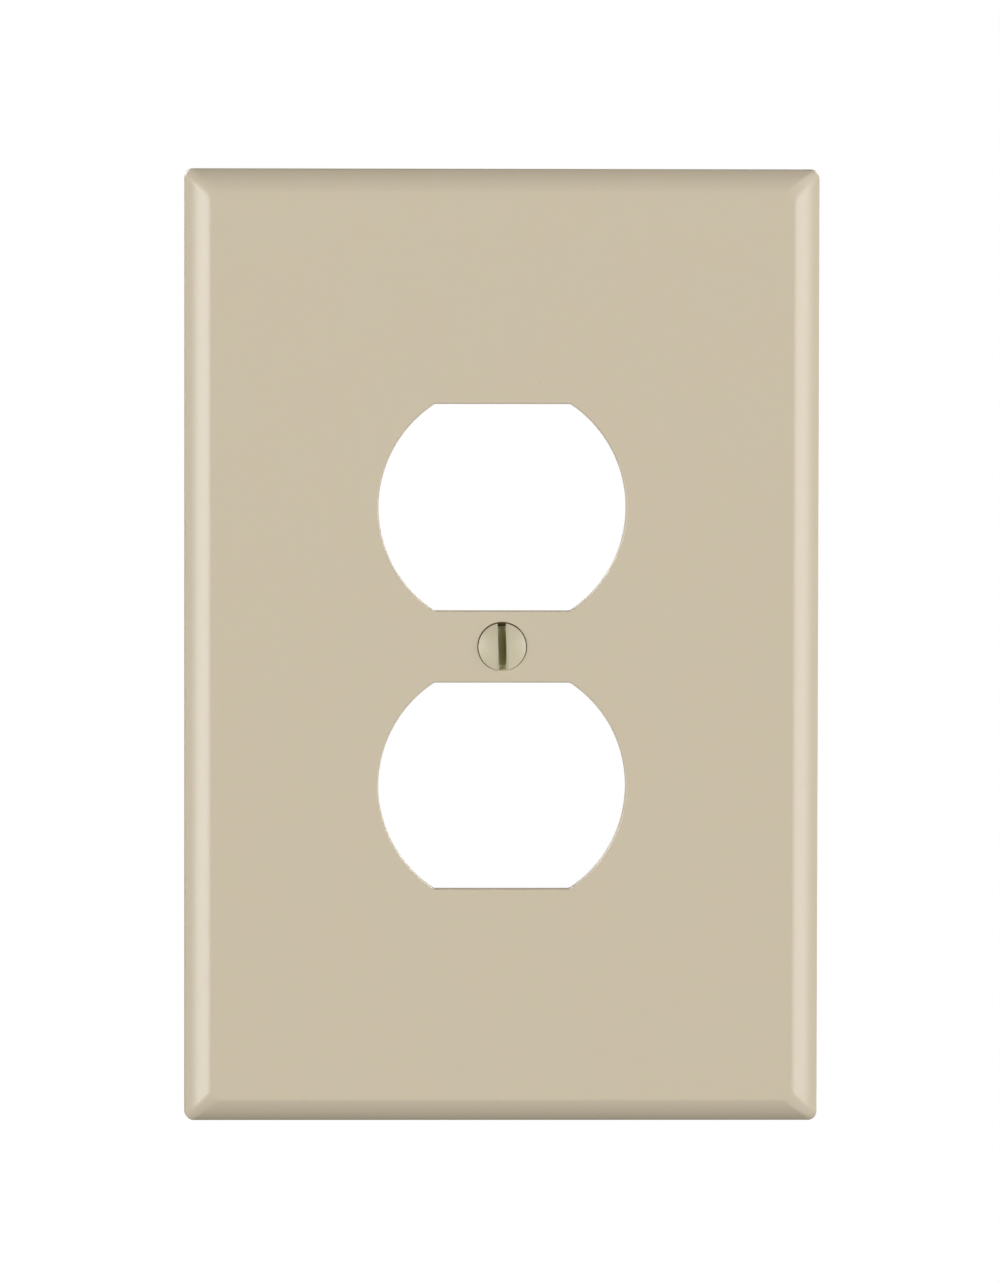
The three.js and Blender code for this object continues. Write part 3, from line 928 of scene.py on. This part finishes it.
plate = wall_plate()
plate_materials = [
    moulded_ivory("ivory_face", FACE_ROUGHNESS, FACE_GRAIN),
    moulded_ivory("ivory_back", BACK_ROUGHNESS, BACK_GRAIN),
    # the screw hole's ivory: painted shade below its mouth, painted light at its lower end
    moulded_ivory("ivory_screw_hole_painted_shade", BACK_ROUGHNESS, BACK_GRAIN, darkening_tint=HOLE_SHADE_TINT, fades=HOLE_SHADE_AND_LIGHT_FADES),
]
paint_faces(plate, plate_materials, plate_material)
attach(plate, "plate")
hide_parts("wall_plate")

screw = mounting_screw()
screw_materials = [
    # the head's enamel, with painted shade above and painted light below
    painted_head("enamel", fades=HEAD_LIGHT_AND_SHADE_FADES),
    painted_head("worn_enamel", wear=1.0, darkening_tint=LIP_TINT),
    # the slot's enamel: painted shade, with painted light at its lower end
    painted_head("slot_enamel_painted_shade", darkening_tint=SLOT_SHADE_TINT, fades=SLOT_SHADE_AND_LIGHT_FADES),
    zinc("zinc_plate"),
]
paint_faces(screw, screw_materials, screw_material)
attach(screw, "screw")
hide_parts("mounting_screw")

retainer = screw_retainer()
retainer.data.materials.append(nylon("natural_nylon"))
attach(retainer, "retainer")
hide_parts("screw_retainer")

# ---- Studio: floor, lights, backdrop and camera, in metres ---------------------------------------

FLOOR_DROP = 0.45
FLOOR_HALF_SIZE = 3.0
WHITE = (1, 1, 1, 1)
BACKDROP_STRENGTH = 1.0
FILL_STRENGTH = 0.01
LIGHT_DISTANCE = 1.5
SOFT_BOXES = (  # name, azimuth and elevation in degrees, width, height, and power in watts
    ("left_box", -58.6, 2, 0.92, 1.1, 24.4),
    ("right_box", 61, 2, 0.97, 1.1, 19.4),
    ("upper_box", 58, 50, 1.1, 0.8, 7.2),
    ("lower_box", 50, -50, 1.1, 0.8, 4.9),
    ("rear_left_box", -145, 25, 0.9, 0.9, 12),
    ("rear_right_box", 145, 25, 0.9, 0.9, 12),
)
CAMERA_AZIMUTH = -1.2
CAMERA_ELEVATION = 2.66
CAMERA_ROLL = math.radians(0.1)
CAMERA_DISTANCE = 1.25
CAMERA_LENS = 251.0
CAMERA_AIM = (-0.00025, -0.0035, 0.0007)
CAMERA_CLIP = (0.01, 100)


def direction(azimuth, elevation):
    """The unit vector towards an azimuth and elevation in degrees. Azimuth 0 is in front."""
    a, e = math.radians(azimuth), math.radians(elevation)
    return Vector((math.sin(a) * math.cos(e), -math.cos(a) * math.cos(e), math.sin(e)))


def add_floor():
    half = FLOOR_HALF_SIZE
    build = bmesh.new()
    corners = [build.verts.new((x * half, y * half, 0)) for x, y in rectangle(2, 2)]
    build.faces.new(corners)
    floor = piece_from(build, "floor")
    floor.location.z = -PLATE_HEIGHT * MM / 2 - FLOOR_DROP
    floor.data.materials.append(studio_floor("pale_floor"))
    floor.visible_diffuse = False
    floor.visible_glossy = False
    floor.visible_shadow = False


def add_soft_box(name, azimuth, elevation, width, height, power):
    """A rectangular soft light that faces the object."""
    light = bpy.data.lights.new(name, "AREA")
    light.shape = "RECTANGLE"
    light.size = width
    light.size_y = height
    light.energy = power
    lamp = bpy.data.objects.new(name, light)
    lamp.visible_camera = False
    away = direction(azimuth, elevation)
    lamp.location = away * LIGHT_DISTANCE
    lamp.rotation_mode = "QUATERNION"
    lamp.rotation_quaternion = away.to_track_quat("Z", "Y")
    bpy.context.scene.collection.objects.link(lamp)


def add_world():
    """White where the camera sees it, and a dim even fill everywhere else."""
    world = bpy.data.worlds.new("studio")
    world.use_nodes = True
    tree = world.node_tree
    tree.nodes.clear()
    path = tree.nodes.new("ShaderNodeLightPath")
    mix = tree.nodes.new("ShaderNodeMixShader")
    output = tree.nodes.new("ShaderNodeOutputWorld")
    tree.links.new(path.outputs["Is Camera Ray"], mix.inputs[0])
    for socket, strength in enumerate((FILL_STRENGTH, BACKDROP_STRENGTH), start=1):
        background = tree.nodes.new("ShaderNodeBackground")
        background.inputs["Color"].default_value = WHITE
        background.inputs["Strength"].default_value = strength
        tree.links.new(background.outputs[0], mix.inputs[socket])
    tree.links.new(mix.outputs[0], output.inputs[0])
    bpy.context.scene.world = world


def add_camera():
    camera = bpy.data.objects.new("camera", bpy.data.cameras.new("camera"))
    camera.data.lens = CAMERA_LENS
    camera.data.clip_start, camera.data.clip_end = CAMERA_CLIP
    away = direction(CAMERA_AZIMUTH, CAMERA_ELEVATION)
    camera.location = Vector(CAMERA_AIM) + away * CAMERA_DISTANCE
    camera.rotation_mode = "QUATERNION"
    camera.rotation_quaternion = away.to_track_quat("Z", "Y") @ Quaternion((0, 0, 1), CAMERA_ROLL)
    bpy.context.scene.collection.objects.link(camera)
    bpy.context.scene.camera = camera


add_floor()
add_world()
for soft_box in SOFT_BOXES:
    add_soft_box(*soft_box)
add_camera()
bpy.context.scene.view_settings.view_transform = "Standard"

bpy.context.view_layer.update()
